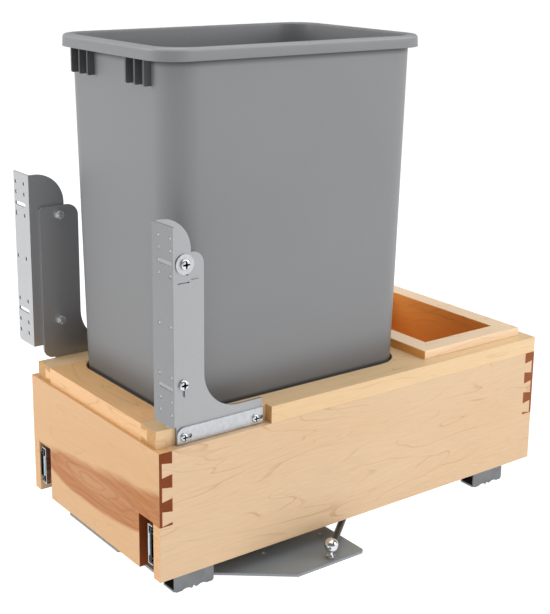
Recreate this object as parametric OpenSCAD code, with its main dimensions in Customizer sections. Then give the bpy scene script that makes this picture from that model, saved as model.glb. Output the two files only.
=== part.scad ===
// Pull-out waste bin unit for a kitchen base cabinet.
// A wooden frame carries one tall bin and a small tray behind it. It rides on two ball-bearing
// slides that stand on floor brackets, and a pair of steel brackets holds the cabinet door.
// Millimetres, +Z up. The cabinet front is at -Y, so the frame pulls out along -Y.
// The origin is on the cabinet floor, at the centre of the four floor-bracket screw holes.

/* [Wooden box] */
// overall width of the box
box_w = 291; // [240:1:420]
// overall depth of the box
box_l = 565; // [480:1:620]
// height of the box sides
box_h = 146; // [120:1:200]
// floor to the underside of the box
box_lift = 22; // [22:1:40]
// side panel thickness
side_t = 13.2; // [10:0.1:19]
// front and rear panel thickness
front_t = 16; // [12:0.5:20]
// bottom panel thickness
bottom_t = 9; // [6:0.5:15]
// wood left in front of the blind dovetails
lip_t = 3.4; // [2.5:0.1:6]
// dovetail pitch
tail_pitch = 27.2; // [20:0.1:32]
// dovetail width at its wide end
tail_w = 16.4; // [10:0.1:18]
// dovetail taper on each flank
tail_flare = 2.2; // [0.5:0.1:3]
// thin pin left under the lowest dovetail
low_pin = 0.9; // [0.5:0.1:4]
// width of each corner notch that lets a slide pass
notch_w = 29.3; // [20:0.1:40]
// height of each corner notch
notch_h = 64; // [50:1:80]

/* [Top frame] */
// thickness of the top frame boards
top_t = 19.5; // [15:0.5:25]
// width of each side board beside the door bracket
rail_w = 29.8; // [20:0.1:40]
// step that lets the door bracket in, from the box side
bracket_step = 11.7; // [6:0.1:15]
// length of that step from the box front
bracket_step_l = 144; // [100:1:200]
// front board's step back from the box front
top_front_step = 3.6; // [0:0.1:10]

/* [Bin] */
// rim width
bin_w = 236.9; // [200:0.1:340]
// rim length
bin_l = 359; // [300:1:420]
// overall bin height
bin_h = 541.8; // [450:0.1:560]
// rim height
rim_h = 14; // [8:0.5:25]
// rim corner radius
rim_r = 35; // [20:1:60]
// body width just under the rim
body_w_top = 229.4; // [190:0.1:330]
// body length just under the rim
body_l_top = 337; // [280:1:400]
// body width at the bottom
body_w_bot = 207.2; // [170:0.1:310]
// body length at the bottom
body_l_bot = 321.6; // [260:1:390]
// bin wall thickness
bin_t = 2.8; // [2:0.1:5]
// how far the fins reach down from the rim
fin_h = 28; // [15:1:45]
// box front to the rim front
bin_setback = 26.3; // [20:0.1:60]
// space between the bin and the cut-out, each side
bin_gap = 3; // [2:0.1:8]

/* [Tray] */
// inner depth of the tray, front to back
tray_l = 116; // [60:1:160]
// inner width of the tray
tray_w = 206; // [150:1:300]
// tray wall thickness
tray_t = 9; // [6:0.5:15]
// how far the tray's walls are let into each side board
tray_lap = 8; // [3:0.5:12]
// width of the rim strips
strip_w = 24.3; // [15:0.1:30]
// height of the rim strips
strip_h = 10.7; // [6:0.1:20]
// rim front to the box front
tray_front = 387.3; // [340:0.1:480]
// tray floor above the cabinet floor
tray_floor_z = 74; // [60:1:140]

/* [Door brackets] */
// steel thickness of the arm
arm_t = 3; // [2:0.1:5]
// steel thickness of the door angle and the cleat
angle_t = 1.8; // [1.2:0.1:4]
// top of the arm above the cabinet floor
arm_top = 374; // [300:1:480]
// front edge of the arm from the box front
arm_front = 12; // [6:0.5:25]
// width of the upright part of the arm
arm_w = 50; // [35:1:70]
// fillet between upright and foot
arm_fillet = 44; // [20:1:60]
// height of the door angle
angle_h = 208; // [150:1:300]
// bottom of the door angle above the cabinet floor
angle_z = 205; // [200:1:260]
// reach of the door flange away from the bend
flange_w = 39; // [25:1:60]
// radius of the door screw holes
door_hole_r = 2.4; // [1.5:0.1:4]

/* [Slides] */
// height of a slide
slide_h = 46; // [35:1:55]
// bottom of a slide above the cabinet floor
slide_z = 34; // [30:1:60]
// total width of a slide
slide_w = 13.5; // [11:0.1:16]
// slide length
slide_l = 540; // [400:5:600]
// slide steel thickness
slide_t = 1.4; // [1:0.1:2.5]
// running space between the slide's channels
slide_fit = 0.5; // [0.2:0.05:1]

/* [Floor brackets and plate] */
// floor bracket length
foot_l = 50; // [35:1:80]
// box front to the centre of the front brackets
foot_front = 46.5; // [40:0.5:100]
// distance between front and rear bracket centres
foot_span = 451; // [350:1:500]
// bracket outer face to its floor screw hole
foot_hole = 12.1; // [8:0.1:18]
// bracket steel thickness
foot_t = 2.3; // [1.5:0.1:4]
// floor plate thickness
plate_t = 3; // [2:0.5:6]
// plate edge beyond the ball stud
plate_edge = 9; // [7:0.5:40]

/* [Gas spring] */
// plate ball stud out from the box side
stud_out = 34.5; // [25:0.5:80]
// plate ball stud from the box front
stud_y = 204; // [150:1:260]
// ball height above the floor
ball_z = 18.5; // [12:0.5:25]
// travel of the pull-out
travel = 480; // [380:5:520]
// frame pin from the centre line at rest
pin_x = -24; // [-60:1:40]
// outer radius of the cylinder
cyl_r = 6.8; // [5:0.1:9]
// radius of the rod
rod_r = 4; // [3:0.1:5]
// running clearance between rod and gland
rod_fit = 0.05; // [0.01:0.01:0.1]

/* [Hidden] */
$fn = 64;
eps = 0.01;
org_y = foot_front + foot_span / 2;
box_top = box_lift + box_h;
top_z = box_top + top_t;
half_w = box_w / 2;
stud_x = half_w + stud_out;
plate_reach = stud_x + plate_edge;
side_in = half_w - side_t;
notch_in = side_in - notch_w;
notch_top = box_lift + notch_h;
step_x = half_w - bracket_step;
rail_in = step_x - rail_w;
bin_y = bin_setback + bin_l / 2;
bottom_z = box_lift + 4;
bin_z = bottom_z + bottom_t + 0.2;
bin_top = bin_z + bin_h;
rim_z = bin_top - rim_h;
body_slope_w = (body_w_top - body_w_bot) / (rim_z - bin_z);
body_slope_l = (body_l_top - body_l_bot) / (rim_z - bin_z);
hole_w = body_w_bot + body_slope_w * (top_z - bin_z) + 2 * bin_gap;
hole_l = body_l_bot + body_slope_l * (top_z - bin_z) + 2 * bin_gap;
hole_r = 38;
hole_front = bin_y - hole_l / 2;
hole_back = bin_y + hole_l / 2;
tray_y0 = tray_front + strip_w;
tray_y1 = tray_y0 + tray_l;
tray_out = tray_w / 2 + tray_t;
board_in = tray_out - tray_lap;
strip_out = tray_w / 2 + strip_w + 1.2;
strip_back = tray_y1 + strip_w;
arm_x0 = step_x;
arm_x1 = step_x + arm_t;
angle_x1 = arm_x1 + angle_t;
foot_front_y = 27;
bend_y = 0.5;
bolt_top = [37, 363];
bolt_low = [35, 234];
slide_out = side_in;
slide_in = side_in - slide_w;
wall_x0 = slide_in - foot_t;
mid_in = slide_in + slide_t + slide_fit;
mid_out = slide_out - slide_t - 1.2;
mid_web = mid_in + (mid_out - mid_in) * 4 / 9;
foot_out = half_w - 5.9;
pin_y = stud_y + travel / 2;
spring_dx = stud_x - pin_x;
spring_len = sqrt(spring_dx * spring_dx + travel * travel / 4);
spring_ang = atan2(travel / 2, -spring_dx);
axis_z = 14;
cyl_l = 150;
cyl_y1 = spring_len - 20;
cyl_y0 = cyl_y1 - cyl_l;
col_x = [angle_x1 + 10.5, angle_x1 + 32];
hole_z = [14, 27.5, 53.5, 106, 158, 183.5, 196];
slot_z = [41, 170.5];
fin_x = [-77, -59, -41, 41, 59, 77];
front_foot = foot_front;
rear_foot = foot_front + foot_span;
screw_y = [90, 240, 420, 510];
rivet_y = [front_foot - 12, front_foot + 12, rear_foot - 12, rear_foot + 12];

// ---------- helpers ----------

// Moves a shape drawn from the box front to the origin.
module seat() translate([0, -org_y, 0]) children();

// Puts a shape on the right (s = 1) or mirrors it to the left (s = -1).
module on_side(s) if (s > 0) children(); else mirror([1, 0, 0]) children();

module block(x0, x1, y0, y1, z0, z1)
    translate([x0, y0, z0]) cube([x1 - x0, y1 - y0, z1 - z0]);

// Rounded rectangle, centred.
module round_rect(w, l, r) {
    square([w - 2 * r, l], center = true);
    square([w, l - 2 * r], center = true);
    for (sx = [-1, 1], sy = [-1, 1])
        translate([sx * (w / 2 - r), sy * (l / 2 - r)]) circle(r);
}

// Extrudes a (y, z) outline from x0 to x1.
module along_x(x0, x1)
    translate([x0, 0, 0]) rotate([90, 0, 90]) linear_extrude(x1 - x0) children();

// Extrudes an (x, z) outline from y0 to y1.
module along_y(y0, y1)
    translate([0, y1, 0]) rotate([90, 0, 0]) linear_extrude(y1 - y0) children();

module rod_x(x0, x1, y, z, r)
    translate([x0, y, z]) rotate([0, 90, 0]) cylinder(r = r, h = x1 - x0);

module rod_y(y0, y1, x, z, r)
    translate([x, y0, z]) rotate([-90, 0, 0]) cylinder(r = r, h = y1 - y0);

// Slot of radius r from (a, z) to (b, z) in an outline.
module slot2(a, b, z, r) {
    translate([a, z - r]) square([b - a, 2 * r]);
    for (u = [a, b]) translate([u, z]) circle(r);
}

// ---------- wooden box ----------

tail_z = [for (i = [0 : 2]) box_top - 19.7 - i * tail_pitch];

// Side panel end outline in (y, z): what the side panel keeps of its first front_t.
module side_end() {
    translate([0, box_lift]) square([front_t, tail_z[2] - tail_w / 2 - low_pin - box_lift]);
    for (z = tail_z)
        polygon([[lip_t, z - tail_w / 2], [front_t, z - tail_w / 2 + tail_flare],
                 [front_t, z + tail_w / 2 - tail_flare], [lip_t, z + tail_w / 2]]);
}

module side_panel() {
    color("#DEC09A") difference() {
        along_x(side_in, half_w) {
            translate([front_t, box_lift]) square([box_l - 2 * front_t, box_h]);
            side_end();
            translate([box_l, 0]) mirror([1, 0]) side_end();
        }
        for (y = screw_y) rod_x(side_in - 1, side_in + 9, y, slide_z + slide_h / 2, 2);
    }
}

// Front or rear panel, drawn as the front one.
module end_panel() {
    difference() {
        block(-half_w, half_w, 0, front_t, box_lift, box_top);
        for (s = [-1, 1]) on_side(s) {
            block(notch_in, side_in + eps, -1, front_t + 1, box_lift - 1, notch_top);
            along_x(side_in, half_w + 1) side_end();
            block(side_in, half_w + 1, -1, front_t + 1, box_lift - 1, box_lift + 1);
        }
    }
}

module front_panel() color("#DDB57F") end_panel();

module rear_panel() color("#DEC09A") translate([0, box_l, 0]) mirror([0, 1, 0]) end_panel();

module bottom_panel()
    color("#D9B488") difference() {
        block(-notch_in, notch_in, front_t, box_l - front_t, bottom_z, bottom_z + bottom_t);
        for (x = [-17, 17]) translate([pin_x + x, pin_y, bottom_z - 1]) cylinder(r = 2, h = 8);
    }

// ---------- top frame ----------

module bin_hole()
    translate([0, bin_y, box_top - 1]) linear_extrude(top_t + 2) round_rect(hole_w, hole_l, hole_r);

module tray_hole()
    block(-tray_out, tray_out, tray_y0 - tray_t, tray_y1 + tray_t, box_top - 1, top_z + 1);

// One dovetail of the front board, at its right end.
module board_tail()
    along_y(top_front_step, top_front_step + 22)
        polygon([[rail_in - 1, box_top + 5.6], [rail_in, box_top + 5.6], [rail_in + 12.4, box_top + 3.4],
                 [rail_in + 12.4, box_top + 16], [rail_in, box_top + 13.8], [rail_in - 1, box_top + 13.8]]);

module top_front_board() {
    color("#E2BC86") difference() {
        union() {
            block(-rail_in, rail_in, top_front_step, hole_front + hole_r, box_top, top_z);
            for (s = [-1, 1]) on_side(s) board_tail();
        }
        bin_hole();
    }
}

module top_side() {
    color("#E6C490") difference() {
        union() {
            block(rail_in, step_x, top_front_step, bracket_step_l, box_top, top_z);
            block(rail_in, half_w, bracket_step_l, hole_back - hole_r, box_top, top_z);
            block(board_in, half_w, hole_back - hole_r, box_l, box_top, top_z);
        }
        board_tail();
        bin_hole();
        tray_hole();
        for (y = [35.3, 127]) rod_x(arm_x1 - 18, step_x + 1, y, box_top + 8, 2);
    }
}

module top_middle_board() {
    color("#C99555") difference() {
        block(-board_in, board_in, hole_back - hole_r, tray_y0 - tray_t, box_top, top_z);
        bin_hole();
    }
}

module top_rear_board()
    color("#DEC09A") block(-board_in, board_in, tray_y1 + tray_t, box_l, box_top, top_z);

// ---------- tray ----------

module tray_front_wall()
    color("#B87935") block(-tray_out, tray_out, tray_y0 - tray_t, tray_y0, tray_floor_z, top_z);

module tray_rear_wall()
    color("#B87935") block(-tray_out, tray_out, tray_y1, tray_y1 + tray_t, tray_floor_z, top_z);

module tray_side_walls()
    color("#B87935") for (s = [-1, 1]) on_side(s)
        block(tray_w / 2, tray_out, tray_y0, tray_y1, tray_floor_z, top_z);

module tray_floor()
    color("#B87935") block(-tray_w / 2, tray_w / 2, tray_y0, tray_y1, tray_floor_z, tray_floor_z + 6);

// Four mitred strips round the tray's mouth.
module tray_rim() {
    a = tray_w / 2;
    color("#E9CB9C") translate([0, 0, top_z]) {
        for (s = [-1, 1]) on_side(s) linear_extrude(strip_h)
            polygon([[a, tray_y0], [strip_out, tray_front], [strip_out, strip_back], [a, tray_y1]]);
        linear_extrude(strip_h)
            polygon([[-strip_out, tray_front], [strip_out, tray_front], [a, tray_y0], [-a, tray_y0]]);
        linear_extrude(strip_h)
            polygon([[-strip_out, strip_back], [-a, tray_y1], [a, tray_y1], [strip_out, strip_back]]);
    }
}

// ---------- bin ----------

module bin_slab(w, l, r, z) translate([0, bin_y, z]) linear_extrude(eps) round_rect(w, l, r, $fn = 32);

// Tapered body and rolled rim in one moulding, with fins under both short sides of the rim.
module bin() {
    color("#8E8E90") difference() {
        union() {
            hull() {
                bin_slab(body_w_bot, body_l_bot, 34, bin_z);
                bin_slab(body_w_top, body_l_top, 36, rim_z + rim_h - 3);
            }
            translate([0, bin_y, rim_z]) linear_extrude(rim_h) difference() {
                round_rect(bin_w, bin_l, rim_r);
                round_rect(bin_w - 2 * bin_t, bin_l - 2 * bin_t, rim_r - bin_t);
            }
            translate([0, bin_y, bin_top - bin_t]) linear_extrude(bin_t)
                round_rect(bin_w, bin_l, rim_r);
            for (x = fin_x, s = [-1, 1]) translate([x, bin_y, rim_z - fin_h])
                block(-1.2, 1.2, min(s * (body_l_top / 2 - 3), s * (bin_l / 2 - bin_t)),
                    max(s * (body_l_top / 2 - 3), s * (bin_l / 2 - bin_t)), 0, fin_h + rim_h - bin_t);
        }
        hull() {
            bin_slab(body_w_bot - 2 * bin_t, body_l_bot - 2 * bin_t, 31, bin_z + bin_t);
            bin_slab(body_w_top - 2 * bin_t, body_l_top - 2 * bin_t, 33, bin_top + 1);
        }
    }
}

// ---------- door brackets ----------

// Outline of the arm in (y, z).
module arm_outline() {
    y1 = arm_front + arm_w;
    foot_top = top_z + 9.5;
    difference() {
        union() {
            // upright with a rounded top
            translate([arm_front, top_z + 13]) square([arm_w, arm_top - 14 - top_z - 13]);
            translate([arm_front + 4, arm_top - 14]) square([arm_w - 18, 14]);
            translate([arm_front, arm_top - 14]) square([4, 10]);
            translate([arm_front + 4, arm_top - 4]) circle(4);
            translate([y1 - 14, arm_top - 14]) circle(14);
            // rounded lower front corner
            translate([arm_front + 12, top_z + 1]) square([arm_w - 12, 12]);
            translate([arm_front + 12, top_z + 13]) circle(12);
            // foot in the step
            translate([foot_front_y, box_top + 0.8]) square([137 - foot_front_y, foot_top - box_top - 0.8]);
            // web for the fillet
            translate([y1, foot_top]) square([arm_fillet, arm_fillet]);
        }
        translate([y1 + arm_fillet, foot_top + arm_fillet]) circle(arm_fillet);
        translate(bolt_top) circle(3.2);
        translate(bolt_low) circle(3.2);
        for (y = [35.3, 127]) translate([y, box_top + 8]) circle(2.4);
    }
}

module arm() color("#A9AAAC") along_x(arm_x0, arm_x1) arm_outline();

// Zinc strip that clamps the arm's foot to the frame.
module cleat_outline() {
    z0 = box_top + 0.8;
    difference() {
        union() {
            translate([foot_front_y, z0]) square([110, 9]);
            translate([foot_front_y + 9, z0]) square([101, 18]);
            translate([foot_front_y + 9, z0 + 9]) circle(9);
        }
        for (y = [35.3, 127]) slot2(y, y + 7.5, box_top + 8, 2.4);
    }
}

module cleat() color("#CDD0D4") along_x(arm_x1, angle_x1) cleat_outline();

// Pan head with a cross recess, its flat side on x.
module pan_head(x, y, z, r, h) {
    translate([x, y, z]) rotate([0, 90, 0]) difference() {
        rotate_extrude() polygon([[0, 0], [r, 0], [r, h * 0.4], [r * 0.72, h * 0.92], [r * 0.4, h], [0, h]]);
        for (a = [0, 90]) rotate([0, 0, a]) translate([-r * 0.55, -r * 0.12, h * 0.5])
            cube([r * 1.1, r * 0.24, h]);
    }
}

module cleat_screws() {
    color("#D5D8DC") for (s = [-1, 1], y = [35.3, 127]) on_side(s) union() {
        pan_head(angle_x1, y, box_top + 8, 4.6, 2.6);
        rod_x(arm_x1 - 18, angle_x1, y, box_top + 8, 2);
    }
}

// Door angle: a flange along the arm and a flange behind the door, bent away from the bin.
module door_angle() {
    angle_top = angle_z + angle_h;
    color("#B4B5B7") union() {
        along_x(arm_x1, angle_x1) difference() {
            union() {
                translate([bend_y, angle_z]) square([24, angle_h]);
                translate([bend_y, angle_z + 15]) square([54, 125]);
                translate([bend_y, angle_z + 15]) square([44.5, angle_h - 51]);
                intersection() {
                    translate([9, angle_top - 36]) circle(36);
                    translate([9, angle_top - 36]) square(36);
                }
            }
            // the straight front part stops where the quarter round begins
            difference() {
                translate([9, angle_top - 36]) square(37);
                translate([9, angle_top - 36]) circle(36);
            }
            translate(bolt_top) circle(3.2);
            translate(bolt_low) circle(3.2);
            translate([bolt_low[0] - 1.6, angle_z + 14]) square([3.2, bolt_low[1] - angle_z - 14]);
            translate([29, 342.6]) square([14, 1.3]);
            translate([40, 352.6]) circle(1.9);
        }
        along_y(bend_y, bend_y + angle_t) difference() {
            union() {
                translate([arm_x1, angle_z + 5]) square([flange_w, angle_h - 5]);
                translate([arm_x1 + 5, angle_z]) square([flange_w - 10, 5]);
                for (x = [5, flange_w - 5]) translate([arm_x1 + x, angle_z + 5]) circle(5);
            }
            for (x = col_x, z = hole_z) translate([x, angle_z + z]) circle(door_hole_r);
            translate([arm_x1 + flange_w - 5.5, bolt_top[1] - 3]) square([1.8, 6.5]);
            for (z = slot_z) slot2(col_x[0], col_x[1], angle_z + z, 2.4);
        }
    }
}

module angle_bolts() {
    color("#C9CCD1") for (s = [-1, 1]) on_side(s) {
        union() {
            pan_head(angle_x1 + 1.5, bolt_top[0], bolt_top[1], 6, 3.2);
            rod_x(arm_x0 - 6, angle_x1 + 1.5, bolt_top[0], bolt_top[1], 3);
        }
        union() {
            pan_head(angle_x1, bolt_low[0], bolt_low[1], 5.6, 3.2);
            rod_x(arm_x0 - 6, angle_x1, bolt_low[0], bolt_low[1], 3);
        }
    }
}

module angle_washers() {
    color("#CDD0D4") for (s = [-1, 1]) on_side(s) difference() {
        rod_x(angle_x1, angle_x1 + 1.5, bolt_top[0], bolt_top[1], 10.8);
        rod_x(angle_x1 - 1, angle_x1 + 3, bolt_top[0], bolt_top[1], 3);
    }
}

module angle_nuts() {
    color("#C9CCD1") for (s = [-1, 1], p = [bolt_top, bolt_low]) on_side(s) difference() {
        translate([arm_x0 - 3.4, p[0], p[1]]) rotate([0, 90, 0]) cylinder(r = 5.6, h = 3.4, $fn = 6);
        rod_x(arm_x0 - 5, arm_x0 + 1, p[0], p[1], 3);
    }
}

// ---------- slides ----------

// Channel open towards +X (dir = 1) or -X (dir = -1), its web on x = 0.
module channel(h, depth, z, y0, y1, dir) {
    along_y(y0, y1) scale_x(dir) translate([0, z]) difference() {
        square([depth, h]);
        translate([slide_t, slide_t]) square([depth, h - 2 * slide_t]);
    }
}

module scale_x(dir) if (dir > 0) children(); else mirror([1, 0]) children();

module cabinet_slide()
    color("#C2C5C8") difference() {
        translate([slide_in, 0, 0]) channel(slide_h, slide_w - 4.6, slide_z, 1.4, 1.4 + slide_l, 1);
        for (y = rivet_y) rod_x(slide_in - 1, slide_in + 3, y, slide_z + slide_h / 2, 2);
    }

module middle_slide()
    color("#B9BCC0") translate([mid_web, 0, 0]) union() {
        channel(slide_h - 6, mid_out - mid_web, slide_z + 3, 1, slide_l - 7, 1);
        mirror([1, 0, 0]) channel(slide_h - 6, mid_web - mid_in, slide_z + 3, 1, slide_l - 7, 1);
    }

module frame_slide()
    color("#C2C5C8") difference() {
        translate([slide_out, 0, 0]) channel(slide_h - 16, slide_out - mid_web - slide_t - slide_fit - 0.1,
            slide_z + 8, 1.2, 1.2 + slide_l, -1);
        for (y = screw_y) rod_x(slide_out - 3, slide_out + 1, y, slide_z + slide_h / 2, 2);
    }

// Pale blue plastic end piece on the middle slide.
module slide_bumper()
    color("#BFD6E2") block(mid_in + 0.4, mid_web - slide_t, 0.3, 13,
        slide_z + 10, slide_z + slide_h - 10);

module slide_screws()
    color("#C9CCD1") for (s = [-1, 1], y = screw_y) on_side(s) union() {
        rod_x(slide_out - slide_t - 1, slide_out - slide_t, y, slide_z + slide_h / 2, 3.6);
        rod_x(slide_out - slide_t - eps, slide_out + 9, y, slide_z + slide_h / 2, 2);
    }

module slide_rivets()
    color("#C9CCD1") for (s = [-1, 1], y = rivet_y) on_side(s) union() {
        rod_x(slide_in + slide_t, slide_in + slide_t + 0.8, y, slide_z + slide_h / 2, 3.4);
        rod_x(wall_x0 - 1, slide_in + slide_t + eps, y, slide_z + slide_h / 2, 2);
        rod_x(wall_x0 - 1.2, wall_x0, y, slide_z + slide_h / 2, 3.2);
    }

// ---------- floor brackets and plate ----------

// Steel channel on the floor, with a tall inner wall that holds the slide.
module foot(y) {
    y0 = y - foot_l / 2;
    y1 = y + foot_l / 2;
    color("#B6B9BC") difference() {
        union() {
            block(wall_x0, foot_out - foot_t, y0, y1, 0, foot_t);
            block(wall_x0, slide_in, y0, y1, 0, slide_z + slide_h - 3);
            along_x(foot_out - foot_t, foot_out) hull() {
                for (e = [y0 + 3, y1 - 3]) translate([e, 3]) circle(3);
                translate([y0, 4]) square([foot_l, box_lift - 5.6]);
            }
        }
        translate([foot_out - foot_hole, y, -1]) cylinder(r = 2.6, h = foot_t + 2);
        rod_x(foot_out - foot_t - 1, foot_out + 1, y, 0.6, 2);
        for (d = [-10, 10]) rod_x(foot_out - foot_t - 1, foot_out + 1, y + d, -8.2, 10);
        for (r = rivet_y) rod_x(wall_x0 - 1, slide_in + 1, r, slide_z + slide_h / 2, 2);
    }
}

plate_holes = [for (x = [-73.5, 126.5], y = [149, 231]) [x, y]];

module base_plate() {
    r = 6;
    color("#75756F") linear_extrude(plate_t) difference() {
        union() {
            polygon([[-91, 17], [24, 17], [31, 26], [96, 26], [96, 76], [130, 76],
                     [plate_reach, 151], [plate_reach, 247 - r], [plate_reach - r, 247], [-91, 247]]);
            translate([plate_reach - r, 247 - r]) circle(r);
        }
        for (p = plate_holes) translate(p) circle(2.2);
        translate([stud_x, stud_y]) circle(3);
    }
}

module plate_stud()
    color("#C9CCD1") translate([stud_x, stud_y, 0]) union() {
        cylinder(r = 3, h = plate_t);
        translate([0, 0, plate_t]) cylinder(r = 5.2, h = 3, $fn = 6);
        translate([0, 0, plate_t]) cylinder(r = 2.7, h = ball_z - plate_t);
        translate([0, 0, ball_z]) sphere(5);
    }

// ---------- gas spring ----------

// Steel strap under the bottom panel; its pin stops just above the cylinder's eye.
module pin_plate()
    color("#B4B5B7") translate([pin_x, pin_y, 0]) difference() {
        union() {
            block(-24, 24, -14, 14, bottom_z - 1.8, bottom_z);
            translate([0, 0, bottom_z - 4.4]) cylinder(r = 3, h = 3);
        }
        for (x = [-17, 17]) translate([x, 0, bottom_z - 3]) cylinder(r = 2, h = 4);
    }

module pin_plate_screws()
    color("#C9CCD1") for (x = [-17, 17]) translate([pin_x + x, pin_y, 0]) union() {
        translate([0, 0, bottom_z - 3.2]) cylinder(r = 3.6, h = 1.4);
        translate([0, 0, bottom_z - 2]) cylinder(r = 2, h = 9);
    }

// Draws the spring along +X from the ball, then turns it to its place at rest.
module on_spring() translate([stud_x, stud_y, 0]) rotate([0, 0, spring_ang]) children();

module bar(x0, x1, r) translate([x0, 0, axis_z]) rotate([0, 90, 0]) cylinder(r = r, h = x1 - x0);

module spring_rod()
    color("#1E1E20") on_spring() union() {
        bar(14, cyl_y0 + 22, rod_r);
        bar(cyl_y0 + 20, cyl_y0 + 26, cyl_r - 1.6);
    }

module rod_end()
    color("#D2D5D8") on_spring() difference() {
        union() {
            translate([0, 0, ball_z]) sphere(8.2);
            translate([9, 0, 0]) bar(0, 5, 5);
            translate([5, 0, axis_z]) rotate([0, 90, 0]) cylinder(r = 4.2, h = 5);
        }
        translate([0, 0, ball_z]) sphere(5.1);
        translate([0, 0, ball_z - 12]) cylinder(r = 4.2, h = 10);
        translate([-12, 0, ball_z]) rotate([0, 90, 0]) cylinder(r = 1.6, h = 8);
    }

module spring_cylinder()
    color("#202124") on_spring() difference() {
        bar(cyl_y0, cyl_y1, cyl_r);
        bar(cyl_y0 - 1, cyl_y1 - 5, cyl_r - 1.3);
    }

module cylinder_gland()
    color("#2A2B2E") on_spring() difference() {
        bar(cyl_y0, cyl_y0 + 12, cyl_r - 1.3);
        bar(cyl_y0 - 1, cyl_y0 + 13, rod_r + rod_fit);
    }

module cylinder_eye()
    color("#9A9CA0") on_spring() difference() {
        union() {
            bar(cyl_y1, spring_len - 5, 4);
            translate([spring_len, 0, axis_z - 6]) cylinder(r = 7.5, h = 12.6);
        }
        translate([spring_len, 0, axis_z - 8]) cylinder(r = 3.1, h = 20);
    }

// ---------- the unit ----------

seat() side_panel();  // side_panel_right
seat() on_side(-1) side_panel();  // side_panel_left
seat() front_panel();
seat() rear_panel();
seat() bottom_panel();
seat() top_front_board();
seat() top_side();  // top_side_right
seat() on_side(-1) top_side();  // top_side_left
seat() top_middle_board();
seat() top_rear_board();
seat() tray_front_wall();
seat() tray_rear_wall();
seat() tray_side_walls();
seat() tray_floor();
seat() tray_rim();
seat() bin();
seat() arm();  // arm_right
seat() on_side(-1) arm();  // arm_left
seat() door_angle();  // door_angle_right
seat() on_side(-1) door_angle();  // door_angle_left
seat() cleat();  // cleat_right
seat() on_side(-1) cleat();  // cleat_left
seat() cleat_screws();
seat() angle_bolts();
seat() angle_washers();
seat() angle_nuts();
seat() frame_slide();  // frame_slide_right
seat() on_side(-1) frame_slide();  // frame_slide_left
seat() slide_screws();
seat() middle_slide();  // middle_slide_right
seat() on_side(-1) middle_slide();  // middle_slide_left
seat() slide_bumper();  // slide_bumper_right
seat() on_side(-1) slide_bumper();  // slide_bumper_left
seat() cabinet_slide();  // cabinet_slide_right
seat() on_side(-1) cabinet_slide();  // cabinet_slide_left
seat() slide_rivets();
seat() foot(front_foot);  // foot_front_right
seat() on_side(-1) foot(front_foot);  // foot_front_left
seat() foot(rear_foot);  // foot_rear_right
seat() on_side(-1) foot(rear_foot);  // foot_rear_left
seat() base_plate();
seat() plate_stud();
seat() pin_plate();
seat() pin_plate_screws();
seat() spring_rod();
seat() rod_end();
seat() spring_cylinder();
seat() cylinder_gland();
seat() cylinder_eye();
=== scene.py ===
"""Looks of a pull-out waste bin unit: lacquered maple frame, grey bin, steel brackets, slides and gas spring.

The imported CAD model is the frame. Pieces drawn here are surfaces worked out with numpy, in metres, in that frame:
+Z up, -Y towards the cabinet front, the origin on the cabinet floor between the floor brackets.
"""
import math

import bpy
import numpy as np
from mathutils import Matrix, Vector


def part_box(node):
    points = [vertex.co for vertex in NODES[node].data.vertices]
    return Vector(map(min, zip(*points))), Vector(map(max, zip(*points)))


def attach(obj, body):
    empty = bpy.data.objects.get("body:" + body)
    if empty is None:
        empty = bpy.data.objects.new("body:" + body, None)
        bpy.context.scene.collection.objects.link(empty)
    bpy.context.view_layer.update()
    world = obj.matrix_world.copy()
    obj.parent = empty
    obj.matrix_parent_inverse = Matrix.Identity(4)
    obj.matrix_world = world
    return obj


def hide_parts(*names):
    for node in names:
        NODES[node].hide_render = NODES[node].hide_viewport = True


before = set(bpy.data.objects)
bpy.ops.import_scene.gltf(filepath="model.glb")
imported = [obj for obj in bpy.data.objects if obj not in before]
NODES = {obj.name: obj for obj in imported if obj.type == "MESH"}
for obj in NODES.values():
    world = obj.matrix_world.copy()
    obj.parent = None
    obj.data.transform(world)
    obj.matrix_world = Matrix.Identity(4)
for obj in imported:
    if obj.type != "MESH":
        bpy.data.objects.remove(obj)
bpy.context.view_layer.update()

bl_info = {
    "name": "Pull-out waste bin unit",
    "version": (1, 0, 0),
    "blender": (4, 5, 0),
    "location": "View3D > Sidebar > Waste unit",
    "description": "Builds the looks of a pull-out waste bin unit on its CAD frame",
    "category": "Object",
}

MM = 0.001


# ---------- colours, nodes and small tools ----------

def linear(code):
    """The linear colour, with alpha 1, of an sRGB hex value such as #DEC09A."""
    parts = [int(code[i:i + 2], 16) / 255 for i in (1, 3, 5)]
    return tuple(p / 12.92 if p <= 0.04045 else ((p + 0.055) / 1.055) ** 2.4 for p in parts) + (1.0,)


def shade(tree, kind, inputs=None, **settings):
    """Adds one shader node with its settings; each input is a value to set or a socket to link."""
    made = tree.nodes.new("ShaderNode" + kind)
    for key, value in settings.items():
        setattr(made, key, value)
    for key, value in (inputs or {}).items():
        if isinstance(value, bpy.types.NodeSocket):
            tree.links.new(value, made.inputs[key])
        else:
            made.inputs[key].default_value = value
    return made


def new_material(name):
    """An empty node material: returns the material, its tree and its shader, already linked to the output."""
    material = bpy.data.materials.new(name)
    material.use_nodes = True
    tree = material.node_tree
    tree.nodes.clear()
    shader = shade(tree, "BsdfPrincipled")
    output = shade(tree, "OutputMaterial")
    tree.links.new(shader.outputs[0], output.inputs[0])
    return material, tree, shader


def dress(material, *names):
    """Puts a material on CAD nodes, through their objects' material slots."""
    for name in names:
        piece = NODES[name]
        if not piece.material_slots:
            piece.data.materials.append(material)
        for slot in piece.material_slots:
            slot.material = material


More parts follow.
